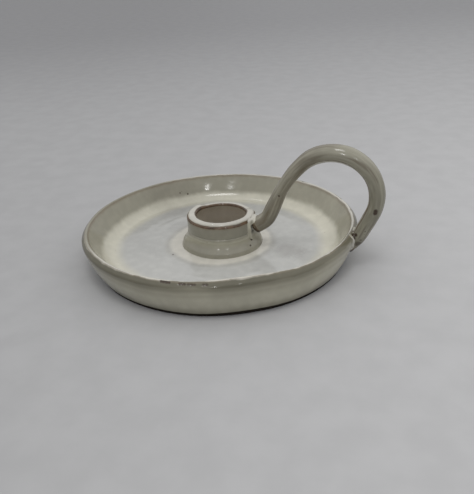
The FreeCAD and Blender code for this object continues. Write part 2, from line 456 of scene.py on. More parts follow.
def sums(tree, operation, first, second=0.0, third=0.0):
    """One step of arithmetic in a material."""
    node = tree.nodes.new("ShaderNodeMath")
    node.operation = operation
    for socket, source in zip(node.inputs, (first, second, third)):
        joined(tree, source, socket)
    return node.outputs[0]


def between(tree, value, low, high, first=0.0, last=1.0):
    """A smooth step from one value to another as an input goes from low to high."""
    node = tree.nodes.new("ShaderNodeMapRange")
    node.interpolation_type = "SMOOTHSTEP"
    names = ("Value", "From Min", "From Max", "To Min", "To Max")
    for name, source in zip(names, (value, low, high, first, last)):
        joined(tree, source, node.inputs[name])
    return node.outputs[0]


def band(tree, value, first, last, edge):
    """1 where a value lies from first to last, with a soft edge each side of both."""
    rise = between(tree, value, first - edge, first + edge)
    fall = between(tree, value, last - edge, last + edge, 1.0, 0.0)
    return sums(tree, "MULTIPLY", rise, fall)


def mixed(tree, share, first, second):
    """Two colours mixed by a share."""
    node = tree.nodes.new("ShaderNodeMix")
    node.data_type = "RGBA"
    for index, source in ((0, share), (6, first), (7, second)):
        joined(tree, source, node.inputs[index])
    return node.outputs[2]


def clouded(tree, place, size, detail=2.0, offset=0.0):
    """Soft noise of a given size, from 0 to 1."""
    node = tree.nodes.new("ShaderNodeTexNoise")
    node.noise_dimensions = "4D"
    node.inputs["W"].default_value = offset
    node.inputs["Scale"].default_value = 1 / size
    node.inputs["Detail"].default_value = detail
    joined(tree, place, node.inputs["Vector"])
    return node.outputs["Fac"]


def ramp(tree, value, span, stops):
    """A run of colours along the guide, with stops in millimetres."""
    node = tree.nodes.new("ShaderNodeValToRGB")
    joined(tree, sums(tree, "DIVIDE", value, span), node.inputs[0])
    node.color_ramp.interpolation = "EASE"
    while len(node.color_ramp.elements) < len(stops):
        node.color_ramp.elements.new(0.5)
    for element, (run, colour) in zip(node.color_ramp.elements, sorted(stops, key=lambda stop: stop[0])):
        element.position = run / span
        element.color = colour
    return node.outputs[0]


def centred(tree, noise, share=1.0):
    """Noise that strays as far above zero as below it."""
    return sums(tree, "MULTIPLY", sums(tree, "SUBTRACT", noise, 0.5), share)


def scaled(tree, colour, share):
    """A colour made lighter or darker by a share."""
    node = tree.nodes.new("ShaderNodeVectorMath")
    node.operation = "SCALE"
    joined(tree, colour, node.inputs[0])
    joined(tree, share, node.inputs["Scale"])
    return node.outputs[0]


def stored(tree, name):
    """A value that the mesh keeps for each point."""
    node = tree.nodes.new("ShaderNodeAttribute")
    node.attribute_name = name
    return node.outputs["Fac"]


def axes(tree, place):
    """A place's X, Y and Z."""
    node = tree.nodes.new("ShaderNodeSeparateXYZ")
    joined(tree, place, node.inputs[0])
    return node.outputs


def specks(tree, place):
    """The scattered iron specks, as a share."""
    cells = tree.nodes.new("ShaderNodeTexVoronoi")
    cells.inputs["Scale"].default_value = 1 / SPECK_SPACING
    joined(tree, place, cells.inputs["Vector"])
    chosen = between(tree, cells.outputs["Color"], *SPECK_CHOICE)
    spots = between(tree, cells.outputs["Distance"], *SPECK_EDGE, SPECK_SHARE, 0.0)
    return sums(tree, "MULTIPLY", spots, chosen)


def mark_at(tree, place, fine, spot, radius, share):
    """A ragged round mark, as a share."""
    gap = tree.nodes.new("ShaderNodeVectorMath")
    gap.operation = "DISTANCE"
    joined(tree, place, gap.inputs[0])
    gap.inputs[1].default_value = Vector(spot) * MM
    ragged = sums(tree, "MULTIPLY", fine, MARK_RAGGED_SHARE * radius * MM)
    ragged = sums(tree, "ADD", gap.outputs["Value"], ragged)
    inner, outer = (edge * radius * MM for edge in MARK_EDGE_SHARES)
    return between(tree, ragged, inner, outer, share, 0.0)


def glaze(name, span, tones, thin, bare=(), marks=(), wobble=2.0, slant=0.0, detail=None):
    """Milky glaze over iron-bearing clay, with its stops along the guide, in millimetres.
    span is the guide's length. tones are (run, colour) stops, and thin are (run, share) stops
    where the glaze is drawn thin on edges and breaks brown. bare is a (first, last) run of wiped
    clay, painted near black for its own dark colour and the shade under the foot. marks are
    (place, radius, share) pinholes and brown spots, and also wide faint darker patches, painted
    shadows and painted shade in creases, as noted where they are listed. wobble is how far the
    stops stray, and slant how much they shift across the piece. detail is a function that adds
    what only one piece's glaze has, painted light among it."""
    material = bpy.data.materials.new(name)
    material.use_nodes = True
    tree = material.node_tree
    shader = tree.nodes["Principled BSDF"]
    place = tree.nodes.new("ShaderNodeTexCoord").outputs["Object"]
    run = stored(tree, "run")
    slow = clouded(tree, place, SLOW_CLOUDS, 1.0)
    quick = clouded(tree, place, QUICK_CLOUDS, 3.0, 3.0)
    fine = clouded(tree, place, FINE_CLOUDS, 2.0, 7.0)

    stray = centred(tree, quick, wobble)
    drift = centred(tree, slow, DRIFT_SHARE * wobble)
    wandering = sums(tree, "ADD", run, sums(tree, "ADD", drift, stray))
    if slant:
        shift = sums(tree, "MULTIPLY", axes(tree, place)["X"], -slant / MM)
        wandering = sums(tree, "ADD", wandering, shift)
    colour = ramp(tree, wandering, span, [(stop, tone(shade)) for stop, shade in tones])
    milky = between(tree, quick, *MILKY_RANGE, *MILKY_SHARES)
    dusky = between(tree, slow, *DUSKY_RANGE, *DUSKY_SHARES)
    colour = scaled(tree, colour, sums(tree, "MULTIPLY", milky, dusky))
    if detail:
        colour = detail(tree, colour, place, run, quick)

    stops = [(stop, (share, share, share, 1)) for stop, share in thin]
    thinness = ramp(tree, sums(tree, "ADD", run, stray), span, stops)
    patchy = centred(tree, clouded(tree, place, THIN_CLOUDS, 3.0, 11.0))
    patchy = sums(tree, "ADD", patchy, centred(tree, fine, THIN_FINE_SHARE))
    thinned = sums(tree, "ADD", thinness, sums(tree, "MULTIPLY", patchy, thinness))
    colour = mixed(tree, between(tree, thinned, *THIN_RANGE, 0.0, THIN_SHARE), colour, tone(THIN_GLAZE))
    broken = between(tree, thinned, *BREAK_RANGE)
    dark_iron, light_iron = (tone(BREAK_BROWN, share) for share in IRON_SHARES)
    iron = mixed(tree, between(tree, quick, *IRON_RANGE), dark_iron, light_iron)
    colour = mixed(tree, broken, colour, iron)
    colour = mixed(tree, specks(tree, place), colour, tone(BREAK_BROWN))

    roughness = between(tree, quick, *GLOSS_RANGE, *GLOSS_ROUGHNESS)
    height = sums(tree, "MULTIPLY", quick, QUICK_BUMP)
    height = sums(tree, "ADD", height, sums(tree, "MULTIPLY", fine, FINE_BUMP))
    height = sums(tree, "SUBTRACT", height, sums(tree, "MULTIPLY", broken, BREAK_SINK))
    for spot, radius, share in marks:
        mark = mark_at(tree, place, fine, spot, radius, share)
        colour = mixed(tree, mark, colour, tone(BREAK_BROWN, MARK_TONE_SHARE))
        if radius < LARGEST_PINHOLE:
            height = sums(tree, "SUBTRACT", height, mark)
    if bare:
        ragged = sums(tree, "ADD", run, sums(tree, "MULTIPLY", stray, WIPED_RAGGED_SHARE))
        wiped = band(tree, ragged, *bare, WIPED_EDGE)
        # painted shade: the near-black bare clay also stands for the shade under the foot
        clay = mixed(tree, fine, tone(BARE_CLAY_AND_SHADE, CLAY_TONE_SHARE), tone(BARE_CLAY_AND_SHADE))
        colour = mixed(tree, wiped, colour, clay)
        grit = sums(tree, "MULTIPLY", clouded(tree, place, CLAY_GRIT, 2.0, 19.0), wiped)
        height = sums(tree, "ADD", height, sums(tree, "MULTIPLY", grit, CLAY_BUMP))
        roughness = sums(tree, "ADD", roughness, sums(tree, "MULTIPLY", wiped, CLAY_ROUGHNESS))
        specular = between(tree, wiped, 0.0, 1.0, GLAZE_SPECULAR, CLAY_SPECULAR)
        joined(tree, specular, shader.inputs["Specular IOR Level"])

    bump = tree.nodes.new("ShaderNodeBump")
    bump.inputs["Strength"].default_value = BUMP_STRENGTH
    bump.inputs["Distance"].default_value = BUMP_HEIGHT
    joined(tree, height, bump.inputs["Height"])
    joined(tree, colour, shader.inputs["Base Color"])
    joined(tree, roughness, shader.inputs["Roughness"])
    joined(tree, bump.outputs[0], shader.inputs["Normal"])
    shader.inputs["IOR"].default_value = GLAZE_IOR
    return material


def finish_piece(piece, material, node, slot):
    """Gives a piece its finish and its place in the frame."""
    piece.data.materials.clear()
    piece.data.materials.append(material)
    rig.ride(piece, "root")
    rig.replaces(piece, node)
    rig.slot(piece, slot)


def run_at(piece, radius, height):
    """The guide's value at the point of a turned piece nearest to a radius and height."""
    points = [vertex.co for vertex in piece.data.vertices]
    gaps = [math.hypot(point.xy.length - radius, point.z - height) for point in points]
    return piece.data.attributes["run"].data[gaps.index(min(gaps))].value


def guide_span(piece):
    """The guide's last value."""
    return max(item.value for item in piece.data.attributes["run"].data)


def painted_side_light_and_dull_crest(tree, colour, place, run, quick):
    """Painted light and shade: the dish's tones are lighter towards the loop, where more light falls,
    and inside the lip towards the front as well. On the side away from the loop, the lip's crest is dull."""
    at = axes(tree, place)
    crest = (lip_run - 1, lip_run + 1)
    far_light = between(tree, run, *crest, *FAR_SIDE_LIGHT_SHARES)
    loop_light = between(tree, run, *crest, *LOOP_SIDE_LIGHT_SHARES)
    front = sums(tree, "MULTIPLY", at["Y"], between(tree, run, *crest, 0.0, FRONT_LIGHT_SHARE))
    across = sums(tree, "SUBTRACT", at["X"], front)
    # painted light: lighter towards the loop, and inside the lip towards the front
    colour = scaled(tree, colour, between(tree, across, -RIM_RADIUS, RIM_RADIUS, far_light, loop_light))
    on_crest = band(tree, run, crest[0], crest[1] + CREST_EDGE, CREST_EDGE)
    dull = between(tree, at["X"], *DULL_CREST_PLACES, DULL_CREST_SHARE, 0.0)
    return mixed(tree, sums(tree, "MULTIPLY", on_crest, dull), colour, tone(LIP_OLIVE))


hollow_run = run_at(dish, RIM_RADIUS - HOLLOW_DEPTH, hollow_height)
lip_run = run_at(dish, RIM_RADIUS - LIP_SLOPE_WIDTH, RIM_HEIGHT)
wiped_run = run_at(dish, FOOT_RADIUS + UNDERCUT_LEAN, WIPED_HEIGHT)
dish_span = guide_span(dish)
lip_chips = []
for start, end, share in LIP_CHIPS:
    for step in range(round((end - start) / CHIP_STEP) + 1):
        along = start + step * CHIP_STEP
        front = -math.sqrt(CHIP_CIRCLE ** 2 - along ** 2)
        lip_chips.append(((along, front, CHIP_HEIGHT), CHIP_RADIUS, share))
dish_glaze = glaze(
    "dish_glaze",
    dish_span,
    tones=[
        (wiped_run, FOOT_OLIVE),
        (wiped_run + 5, GREIGE),
        (hollow_run - 3, GREIGE),
        (lip_run - 6.0, WALL_OLIVE),
        (lip_run - 3.8, LIP_OLIVE),
        (lip_run - 2.6, SLOPE_OLIVE),
        (lip_run - 0.5, SLOPE_OLIVE),
        (lip_run - 0.1, LIP_CREAM),
        (lip_run + 0.6, LIP_CREAM),
        (lip_run + 1.5, WALL_OLIVE),
        (lip_run + 9, WALL_OLIVE),
        (lip_run + 12.5, CREAM),
        (lip_run + 16, CREAM),
        (lip_run + 23, MILK_GREY),
        (dish_span - 28.5, MILK_GREY),
        (dish_span - 26.0, MILK_DUSK),
        (dish_span - 23.4, POOL_CREAM),
        (dish_span - 20.5, POOL_CREAM),
        (dish_span, WALL_OLIVE),
    ],
    thin=[
        (0, 0.0),
        (lip_run - 1.3, 0.0),
        (lip_run - 0.6, 0.6),
        (lip_run + 0.0, 0.0),
        (lip_run + 0.6, 0.1),
        (lip_run + 1.0, 0.7),
        (lip_run + 1.6, 0.5),
        (lip_run + 2.6, 0.15),
        (lip_run + 8, 0.0),
        (dish_span, 0.0),
    ],
    bare=(recess_radius / MM - 1, wiped_run),
    marks=[
        ((-34.6, 45.2, 9.1), 0.6, 1.0),
        ((-38.4, 42.9, 10.3), 0.45, 1.0),
        ((-36.3, 44.2, 10.6), 0.3, 0.7),
        ((-17.9, -19.0, 5.0), 0.6, 0.8),
        # painted shadow of the loop's rise on the floor, right of the socket
        ((35.1, -2.6, 5.0), 9, 0.22),
        ((45.4, -6.6, 5.0), 9, 0.12),
        # painted shade on the inner wall at the back left
        ((-42.0, 38.0, 11.0), 20, 0.12),
        # a faint darker patch on the floor, left of the socket
        ((-26.0, 11.0, 5.0), 8, 0.1),
        # painted shade of the pocket between the lip and the loop's tail
        ((64.3, -3.2, 15.7), 1.1, 1.0),
    ] + lip_chips,
    wobble=1.2,
    slant=SLANT,
    detail=painted_side_light_and_dull_crest,
)
finish_piece(dish, dish_glaze, "dish", "dish_glaze")


# Candle socket
# A thick ring for a dinner candle, thrown apart and set on the dish's floor a hair off centre.
# Its collar stands above the slip that holds it, and its lip is rounded with a sponge.
BORE_RADIUS = 12 * MM
SOCKET_WALL = 4.5 * MM
COLLAR_RADIUS = BORE_RADIUS + SOCKET_WALL
SOCKET_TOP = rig.box("candle_socket")[1][2]
INNER_ROUNDING = 1.2 * MM
OUTER_ROUNDING = 1 * MM
SOCKET_SHOULDER = 1.3 * MM
COLLAR_BOTTOM = FLOOR_HEIGHT + 9 * MM
COLLAR_ROUNDING = 1 * MM
GROOVE_HEIGHT = FLOOR_HEIGHT + 8.1 * MM
GROOVE_RADIUS = COLLAR_RADIUS - 0.15 * MM
SOCKET_FOOT_RADIUS = GROOVE_RADIUS + 1.3 * MM
SOCKET_SINK = 0.4 * MM
SOCKET_CENTRE = Vector((0.62, 0.2, 0)) * MM
SOCKET_SPACING = 0.6 * MM
SOCKET_STEPS = 144
SOCKET_WAVE = 0.3 * MM
SOCKET_WAVE_SIZE = 9 * MM
BACK_SHARE = 0.62
BACK_LIP_WIDTH = 1.1 * SOCKET_SHOULDER
BACK_DROP = 1.2 * MM
BACK_DROP_REACH = 6 * MM
COLLAR_OLIVE = (140, 137, 124)
BORE_GREY = (161, 152, 139)

socket = draw_outline("thrown_socket", [
    (BORE_RADIUS, FLOOR_HEIGHT - SOCKET_SINK, 0),
    (BORE_RADIUS, SOCKET_TOP, INNER_ROUNDING),
    (COLLAR_RADIUS - SOCKET_SHOULDER, SOCKET_TOP, OUTER_ROUNDING),
    (COLLAR_RADIUS, SOCKET_TOP - SOCKET_SHOULDER, OUTER_ROUNDING),
    (COLLAR_RADIUS, COLLAR_BOTTOM, COLLAR_ROUNDING),
    (GROOVE_RADIUS, GROOVE_HEIGHT, 0),
    (SOCKET_FOOT_RADIUS, FLOOR_HEIGHT - SOCKET_SINK, 0),
], SOCKET_SPACING, True)
spin_outline(socket, SOCKET_STEPS, SOCKET_CENTRE)
bpy.ops.object.mode_set(mode="EDIT")
pick(socket, lambda point: point.z > SOCKET_TOP - SOCKET_SHOULDER
     and point.y > BACK_SHARE * COLLAR_RADIUS
     and (point - SOCKET_CENTRE).xy.length > COLLAR_RADIUS - BACK_LIP_WIDTH)
bpy.ops.transform.translate(
    value=(0, 0, -BACK_DROP),
    use_proportional_edit=True,
    proportional_edit_falloff="SMOOTH",
    proportional_size=BACK_DROP_REACH,
)
bpy.ops.object.mode_set(mode="OBJECT")
hand_unevenness(socket, SOCKET_WAVE, SOCKET_WAVE_SIZE)
socket_span = guide_span(socket)
bore_edge_run = run_at(socket, BORE_RADIUS, SOCKET_TOP)
shoulder_run = run_at(socket, COLLAR_RADIUS, SOCKET_TOP)
socket_glaze = glaze(
    "socket_glaze",
    socket_span,
    tones=[
        (0, BORE_GREY),
        (bore_edge_run - 1.2, BORE_GREY),
        (bore_edge_run + 0.1, LIP_CREAM),
        (shoulder_run + 0.1, LIP_CREAM),
        (shoulder_run + 0.9, COLLAR_OLIVE),
        (socket_span, COLLAR_OLIVE),
    ],
    thin=[
        (0, 0.0),
        (bore_edge_run - 7, 0.2),
        (bore_edge_run - 2.4, 0.45),
        (bore_edge_run - 1.3, 1.0),
        (bore_edge_run - 0.3, 0.95),
        (bore_edge_run + 0.3, 0.0),
        (shoulder_run + 0.2, 0.0),
        (shoulder_run + 0.6, 0.95),
        (shoulder_run + 1.6, 1.0),
        (shoulder_run + 2.2, 0.4),
        (shoulder_run + 3.4, 0.0),
        (socket_span, 0.0),
    ],
    wobble=0.6,
)
finish_piece(socket, socket_glaze, "candle_socket", "socket_glaze")


# Slip ring
# A coil of soft clay pressed round the socket's foot and smoothed into a cone with a wet finger.
# It locks the socket to the floor, and the glaze gathers where it ends.
SLIP_RADIUS = COLLAR_RADIUS + 3.4 * MM
SLIP_NECK_WIDTH = 0.5 * MM
SLIP_NECK_HEIGHT = 4.9 * MM
SLIP_NECK_ROUNDING = 7 * MM
SLIP_SHOULDER_WIDTH = 2.6 * MM
SLIP_SHOULDER_HEIGHT = 2.0 * MM
SLIP_ROUNDING = 2.2 * MM
SLIP_INNER_RADIUS = GROOVE_RADIUS - 1 * MM
SLIP_EDGE_RADIUS = GROOVE_RADIUS + 0.1 * MM
OLIVE_GREY = (153, 150, 134)

slip_ring = draw_outline("slip_ring", [
    (SLIP_INNER_RADIUS, GROOVE_HEIGHT, 0),
    (SLIP_EDGE_RADIUS, GROOVE_HEIGHT, 0),
    (COLLAR_RADIUS + SLIP_NECK_WIDTH, FLOOR_HEIGHT + SLIP_NECK_HEIGHT, SLIP_NECK_ROUNDING),
    (COLLAR_RADIUS + SLIP_SHOULDER_WIDTH, FLOOR_HEIGHT + SLIP_SHOULDER_HEIGHT, SLIP_ROUNDING),
    (SLIP_RADIUS, FLOOR_HEIGHT - SOCKET_SINK, 0),
    (SLIP_INNER_RADIUS, FLOOR_HEIGHT - SOCKET_SINK, 0),
], SOCKET_SPACING, True)
spin_outline(slip_ring, SOCKET_STEPS, SOCKET_CENTRE)
hand_unevenness(slip_ring, SOCKET_WAVE, SOCKET_WAVE_SIZE)
slip_span = guide_span(slip_ring)
toe_run = run_at(slip_ring, SLIP_RADIUS, FLOOR_HEIGHT)
slip_glaze = glaze(
    "slip_ring_glaze",
    slip_span,
    tones=[
        (0, COLLAR_OLIVE),
        (1.4, COLLAR_OLIVE),
        (3.2, GREIGE),
        (toe_run - 6.5, OLIVE_GREY),
        (toe_run - 3.5, COLLAR_OLIVE),
        (slip_span, COLLAR_OLIVE),
    ],
    thin=[(0, 0.0), (slip_span, 0.0)],
    marks=[((17.0, -5.2, 9.9), 0.7, 1.0), ((17.2, -7.7, 8.0), 0.6, 1.0)],
    wobble=0.8,
)
finish_piece(slip_ring, slip_glaze, "socket_slip_ring", "slip_ring_glaze")


# Finger loop
# A pulled rod of clay, a little wider than it is deep. It leaves the socket's collar, bends up at
# a knee, arches over the dish and comes round to land on the outside of the rim with a thin tail.
LOOP_RADIUS = 19.5 * MM
LOOP_INSET = 11 * MM
LOOP_DIP = 3.2 * MM
LOOP_CENTRE = Vector((RIM_RADIUS - LOOP_INSET, 0, RIM_HEIGHT - LOOP_DIP + LOOP_RADIUS))
SHOULDER_RADIUS = 54 * MM
RISE_LENGTH = 13 * MM
ROOT_STANDOFF = 0.2 * MM
ROOT_RISE = 9.3 * MM
ROOT_GAP = 1.8 * MM
LOOP_ROOT = Vector((COLLAR_RADIUS + ROOT_STANDOFF, 0, FLOOR_HEIGHT + ROOT_RISE))
KNEE_REACH = 7.4 * MM
KNEE_LIFT = 4.7 * MM
KNEE_RADIUS = 9.7 * MM
KNEE = Vector((COLLAR_RADIUS + KNEE_REACH, 0, LOOP_ROOT.z + KNEE_LIFT))
LANDING_STANDOFF = 1 * MM
LANDING_DROP = 4.1 * MM
LANDING_RADIUS = 12 * MM
LANDING = Vector((RIM_RADIUS + LANDING_STANDOFF, 0, RIM_HEIGHT - LANDING_DROP))
TAIL_INSET = 3.05 * MM
TAIL_DROP = 5 * MM
TAIL = Vector((RIM_RADIUS - TAIL_INSET, 0, LANDING.z - TAIL_DROP))
LOOP_THICKNESS = 8 * MM
LOOP_WIDTH_SHARE = 1.15
# Along the rod from socket to rim: share of its length, share of LOOP_THICKNESS
THICKNESS_SHARES = (
    (0.00, 0.95),
    (0.08, 0.90),
    (0.22, 0.76),
    (0.34, 0.87),
    (0.43, 0.97),
    (0.55, 0.99),
    (0.70, 0.92),
    (0.90, 0.86),
    (1.00, 0.62),
)
ROD_SIDES = 40
ROD_STEP = 1.4 * MM
ROD_WAVE = 0.35 * MM
ROD_WAVE_SIZE = 11 * MM
ACROSS = Vector((0, 1, 0))
ROD_DARK = (123, 118, 104)
ROD_OLIVE = (142, 139, 124)
# painted light along the top of the arch
PAINTED_CROWN_LIGHT = (192, 191, 186)

# Streaks in the rod's glaze, and over its arch a painted lit band along the top, with a brown seam beside it
STREAK_WIDTH = 1.5 * MM
STREAK_PULL_SHARE = 0.09
PALE_STREAKS = (0.5, 0.68)
PALE_STREAK_SHARE = 0.5
DARK_STREAKS = (0.32, 0.48)
DARK_STREAK_SHARE = 0.65
DARK_TONE_SHARE = 0.6
ARCH_START_SHARES = (0.3, 0.42)
BAND_SHIFT_SHARES = (0.5, 0.64)
BAND_SHIFT = 0.9
LIT_CROWN_BAND = (2.1, 2.9)
LIT_CROWN_SHARE = 0.5
SEAM = (1.9, 2.3)
SEAM_EDGE = 0.2
SEAM_STREAKS = (0.35, 0.5)
SEAM_SHARES = (0.1, 0.9)


def heading_of(step):
    """The angle of a step above +X, in the loop's plane."""
    return math.atan2(step.z, step.x)


def towards(angle):
    """A unit step at an angle above +X, in the loop's plane."""
    return Vector((math.cos(angle), 0, math.sin(angle)))


def touch_point(outside, centre, radius, side):
    """Where a straight run from a place outside a circle touches it, on its left (1) or right (-1)."""
    gap = centre - outside
    angle = heading_of(gap) + side * math.asin(radius / gap.length)
    return outside + towards(angle) * math.sqrt(gap.length ** 2 - radius ** 2)


def crossing(first, first_radius, second, second_radius):
    """Where two circles cross, to the right of the way from the first centre to the second."""
    gap = second - first
    along = (first_radius ** 2 - second_radius ** 2 + gap.length ** 2) / (2 * gap.length)
    aside = math.sqrt(first_radius ** 2 - along ** 2)
    angle = heading_of(gap)
    return first + towards(angle) * along + towards(angle - math.pi / 2) * aside


def straight(start, end):
    """Places along a straight run, without its start."""
    count = max(1, round((end - start).length / ROD_STEP))
    return [start.lerp(end, (index + 1) / count) for index in range(count)]


def bend(start, centre, turn):
    """Places along an arc that turns left by an angle, or right where it is negative."""
    reach = start - centre
    count = max(1, round(abs(turn) * reach.length / ROD_STEP))
    angle = heading_of(reach)
    return [centre + towards(angle + turn * (index + 1) / count) * reach.length for index in range(count)]


def rounded_corner(before, corner, after, radius):
    """Places along a straight run to a corner and round it, up to where the next run starts."""
    turn = heading_of(after - corner) - heading_of(corner - before)
    turn = (turn + math.pi) % math.tau - math.pi
    reach = radius * math.tan(abs(turn) / 2)
    start = corner - (corner - before).normalized() * reach
    centre = start + towards(heading_of(corner - before) + math.copysign(math.pi / 2, turn)) * radius
    return straight(before, start) + bend(start, centre, turn)


shoulder_centre = crossing(
    KNEE, math.hypot(SHOULDER_RADIUS, RISE_LENGTH), LOOP_CENTRE, SHOULDER_RADIUS - LOOP_RADIUS
)
rise_end = touch_point(KNEE, shoulder_centre, SHOULDER_RADIUS, 1)
loop_start = LOOP_CENTRE + (LOOP_CENTRE - shoulder_centre).normalized() * LOOP_RADIUS
loop_end = touch_point(LANDING, LOOP_CENTRE, LOOP_RADIUS, -1)
shoulder_turn = heading_of(loop_start - shoulder_centre) - heading_of(rise_end - shoulder_centre)
loop_turn = heading_of(loop_end - LOOP_CENTRE) - heading_of(loop_start - LOOP_CENTRE)

rod_start = LOOP_ROOT + (KNEE - LOOP_ROOT).normalized() * ROOT_GAP
line = [rod_start] + rounded_corner(rod_start, KNEE, rise_end, KNEE_RADIUS)
line += straight(line[-1], rise_end)
line += bend(line[-1], shoulder_centre, shoulder_turn)
line += bend(line[-1], LOOP_CENTRE, loop_turn)
line += rounded_corner(line[-1], LANDING, TAIL, LANDING_RADIUS)
line += straight(line[-1], TAIL)

lengths = [0.0]
for place, following in zip(line, line[1:]):
    lengths.append(lengths[-1] + (following - place).length)


def thickness_at(share):
    """The rod's thickness at a share of its length."""
    for (low, low_share), (high, high_share) in zip(THICKNESS_SHARES, THICKNESS_SHARES[1:]):
        if share <= high:
            along = (share - low) / (high - low)
            eased = along * along * (3 - 2 * along)
            return LOOP_THICKNESS * (low_share + (high_share - low_share) * eased)
    return LOOP_THICKNESS * THICKNESS_SHARES[-1][1]


bpy.ops.object.select_all(action="DESELECT")
bpy.ops.mesh.primitive_circle_add(
    vertices=ROD_SIDES,
    radius=thickness_at(0) / 2,
    fill_type="NGON",
    location=rod_start,
    rotation=(0, math.pi / 2 - heading_of(line[1] - line[0]), 0),
)
rod = start_piece(bpy.context.active_object, "pulled_loop")
bpy.ops.object.mode_set(mode="EDIT")
bpy.ops.transform.resize(value=(1, LOOP_WIDTH_SHARE, 1), center_override=rod_start)
for index in range(1, len(line)):
    ahead = line[min(index + 1, len(line) - 1)] - line[index]
    behind = line[index] - line[index - 1]
    before = line[index - 1] - line[max(index - 2, 0)]
    old_heading = heading_of(before.normalized() + behind.normalized())
    new_heading = heading_of(behind.normalized() + ahead.normalized())
    growth = thickness_at(lengths[index] / lengths[-1]) / thickness_at(lengths[index - 1] / lengths[-1])
    turn = (new_heading - old_heading + math.pi) % math.tau - math.pi
    bpy.ops.mesh.extrude_region()
    bpy.ops.transform.translate(value=behind)
    bpy.ops.transform.rotate(value=turn, orient_axis="Y", center_override=line[index])
    bpy.ops.transform.resize(value=(growth, growth, growth), center_override=line[index])
bpy.ops.mesh.select_all(action="SELECT")
bpy.ops.mesh.normals_make_consistent(inside=False)
bpy.ops.object.mode_set(mode="OBJECT")
bpy.ops.object.shade_smooth()
guide = rod.data.attributes.new("run", "FLOAT", "POINT")
outward = rod.data.attributes.new("outward", "FLOAT", "POINT")
for vertex in rod.data.vertices:
    nearest = min(range(len(line)), key=lambda index: (line[index] - vertex.co).length)
    step = line[min(nearest + 1, len(line) - 1)] - line[max(nearest - 1, 0)]
    guide.data[vertex.index].value = lengths[nearest] / MM
    outwards = ACROSS.cross(step).normalized()
    outward.data[vertex.index].value = (vertex.co - line[nearest]).dot(outwards) / MM
hand_unevenness(rod, ROD_WAVE, ROD_WAVE_SIZE)
rod_span = lengths[-1] / MM


def rod_streaks(tree, colour, place, run, quick):
    """The rod's glaze has run along it in streaks. Over the arch its outer side, the top, gets a
    painted lit band, with a broken brown seam along the band's edge."""
    outward = stored(tree, "outward")
    pulled = tree.nodes.new("ShaderNodeCombineXYZ")
    joined(tree, sums(tree, "MULTIPLY", outward, MM), pulled.inputs[0])
    joined(tree, axes(tree, place)["Y"], pulled.inputs[1])
    joined(tree, sums(tree, "MULTIPLY", run, STREAK_PULL_SHARE * MM), pulled.inputs[2])
    streak = clouded(tree, pulled.outputs[0], STREAK_WIDTH, 2.0, 5.0)
    pale = between(tree, streak, *PALE_STREAKS, 0.0, PALE_STREAK_SHARE)
    colour = mixed(tree, pale, colour, tone(GREIGE))
    dark = between(tree, streak, *DARK_STREAKS, DARK_STREAK_SHARE, 0.0)
    colour = mixed(tree, dark, colour, tone(THIN_GLAZE, DARK_TONE_SHARE))
    arch_start = [share * rod_span for share in ARCH_START_SHARES]
    arched = between(tree, run, *arch_start)
    shift_places = [share * rod_span for share in BAND_SHIFT_SHARES]
    outer = sums(tree, "ADD", outward, centred(tree, quick))
    outer = sums(tree, "SUBTRACT", outer, between(tree, run, *shift_places, 0.0, BAND_SHIFT))
    # painted light: a pale band along the top of the arch
    painted_crown_light = between(tree, outer, *LIT_CROWN_BAND, 0.0, LIT_CROWN_SHARE)
    colour = mixed(tree, sums(tree, "MULTIPLY", painted_crown_light, arched), colour, tone(PAINTED_CROWN_LIGHT))
    seam = band(tree, outer, *SEAM, SEAM_EDGE)
    seam = sums(tree, "MULTIPLY", seam, between(tree, streak, *SEAM_STREAKS, *SEAM_SHARES))
    return mixed(tree, sums(tree, "MULTIPLY", seam, arched), colour, tone(BREAK_BROWN))


loop_glaze = glaze(
    "loop_glaze",
    rod_span,
    tones=[
        (0, ROD_DARK),
        (0.35 * rod_span, ROD_DARK),
        (0.5 * rod_span, ROD_OLIVE),
        (0.6 * rod_span, ROD_OLIVE),
        (0.75 * rod_span, LIP_OLIVE),
        (0.82 * rod_span, LIP_OLIVE),
        (0.9 * rod_span, FOOT_OLIVE),
        (rod_span, FOOT_OLIVE),
    ],
    thin=[(0, 1.0), (1.2, 0.9), (2.4, 0.0), (rod_span - 6, 0.0), (rod_span - 3, 0.6), (rod_span - 1, 1.0)],
    marks=[
        ((73.5, -4.2, 28.8), 1.2, 1.0),
        ((73.4, -4.2, 27.8), 1.2, 1.0),
        ((30.2, -3.5, 32.4), 0.6, 0.9),
        ((66.6, -3.3, 11.8), 2.0, 0.75),
        ((67.9, -3.9, 13.8), 0.9, 0.6),
        ((69.3, -4.1, 17.0), 0.5, 0.9),
        ((69.6, -4.1, 18.6), 0.4, 0.9),
        # painted shade of the pocket between the lip and the loop's tail
        ((65.4, -3.2, 16.2), 1.1, 1.0),
    ],
    detail=rod_streaks,
)
finish_piece(rod, loop_glaze, "finger_loop", "loop_glaze")


# Socket slip
# Slip pressed into the corner where the loop's root meets the socket, smoothed over its top with a
# finger and drawn down the collar as a ridge. Beside the ridge the rod's cut end stays open, and
# the shade in that gap is painted dark.
SLIP_GRAIN = 0.3 * MM
SLIP_SMOOTHING = 10
SLIP_TUCK = 0.05 * MM
SLIP_MARGIN = 1 * MM
PAD_SIDES = 32
REGION_SIDES = 64
SLIP_SPAN = 16
SOCKET_SLIP_PLACE = Vector((17.4, -0.6, 15.6)) * MM
SOCKET_SLIP_REACH = Vector((4.6, 7.2, 7.4)) * MM
SOCKET_PADS = (
    ((16.9, 0.2, 18.3), (2.7, 4.0, 1.6)),
    ((17.2, 1.6, 15.2), (2.1, 2.6, 3.4)),
    ((16.0, -3.4, 19.0), (1.3, 2.2, 0.9)),
    ((16.2, -5.2, 17.6), (0.95, 0.9, 2.2)),
    ((16.4, -5.5, 14.8), (0.95, 0.8, 2.4)),
    ((16.6, -5.3, 12.0), (0.9, 0.9, 2.2)),
    ((16.8, -4.9, 9.9), (0.9, 1.0, 1.6)),
)


